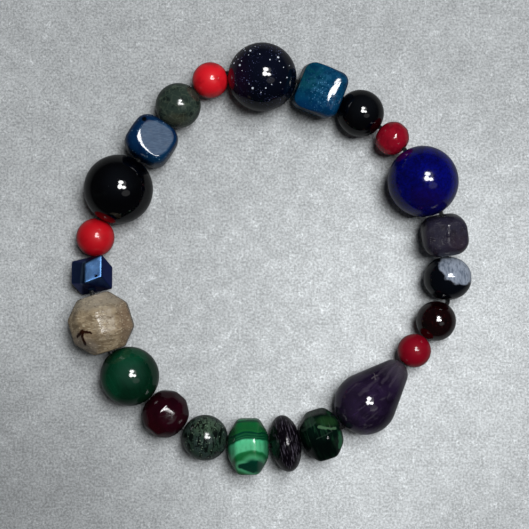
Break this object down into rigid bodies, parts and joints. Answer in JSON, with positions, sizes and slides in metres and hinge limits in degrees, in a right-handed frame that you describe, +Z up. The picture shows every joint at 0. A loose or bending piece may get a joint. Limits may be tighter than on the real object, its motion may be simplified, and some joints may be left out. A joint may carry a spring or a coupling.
{
  "type": "beaded stretch bracelet",
  "caption": "Stretch bracelet of mixed round, faceted, cube, barrel and drop stone beads threaded on a closed ring of elastic cord, lying flat with its wrist opening clear.",
  "frame": {"origin": "on the surface that the bracelet lies on, under the middle of its bounding box", "axes": "+Z up through the wrist opening, along the wrist; +Y the loop's longer way, towards the dark glittering bead; +X to the right of the picture"},
  "size_m": [0.0696, 0.0742, 0.0122],
  "materials": {
    "bright_red_stone": "polished",
    "blue_goldstone": "polished",
    "teal_agate": "polished",
    "black_onyx": "polished",
    "dark_red_glass": "polished",
    "lapis": "polished",
    "purple_grey_stone": "satin",
    "snowflake_stone": "polished",
    "garnet": "polished",
    "cherry_stone": "polished",
    "amethyst": "polished",
    "green_tiger_eye": "polished",
    "black_purple_stone": "polished",
    "malachite": "polished",
    "speckled_green_stone": "polished",
    "wine_stone": "polished",
    "green_cat_eye": "polished",
    "beige_stone": "polished",
    "blue_metal": "mirror",
    "navy_agate": "polished",
    "moss_stone": "polished",
    "clear_elastic": "clear"
  },
  "bodies": {
    "root": {"red_bead_top": "bright_red_stone", "goldstone_bead": "blue_goldstone", "teal_cube_bead": "teal_agate", "small_black_bead": "black_onyx", "red_faceted_bead": "dark_red_glass", "lapis_bead": "lapis", "purple_cube_bead": "purple_grey_stone", "snowflake_bead": "snowflake_stone", "garnet_bead": "garnet", "cherry_bead": "cherry_stone", "amethyst_drop": "amethyst", "dark_green_barrel": "green_tiger_eye", "black_disc_bead": "black_purple_stone", "malachite_barrel": "malachite", "speckled_bead": "speckled_green_stone", "wine_faceted_bead": "wine_stone", "green_bead": "green_cat_eye", "beige_cut_bead": "beige_stone", "blue_metal_cube": "blue_metal", "red_bead_left": "bright_red_stone", "large_black_bead": "black_onyx", "navy_cube_bead": "navy_agate", "moss_bead": "moss_stone", "elastic_cord": "clear_elastic"}
  },
  "joints": []
}
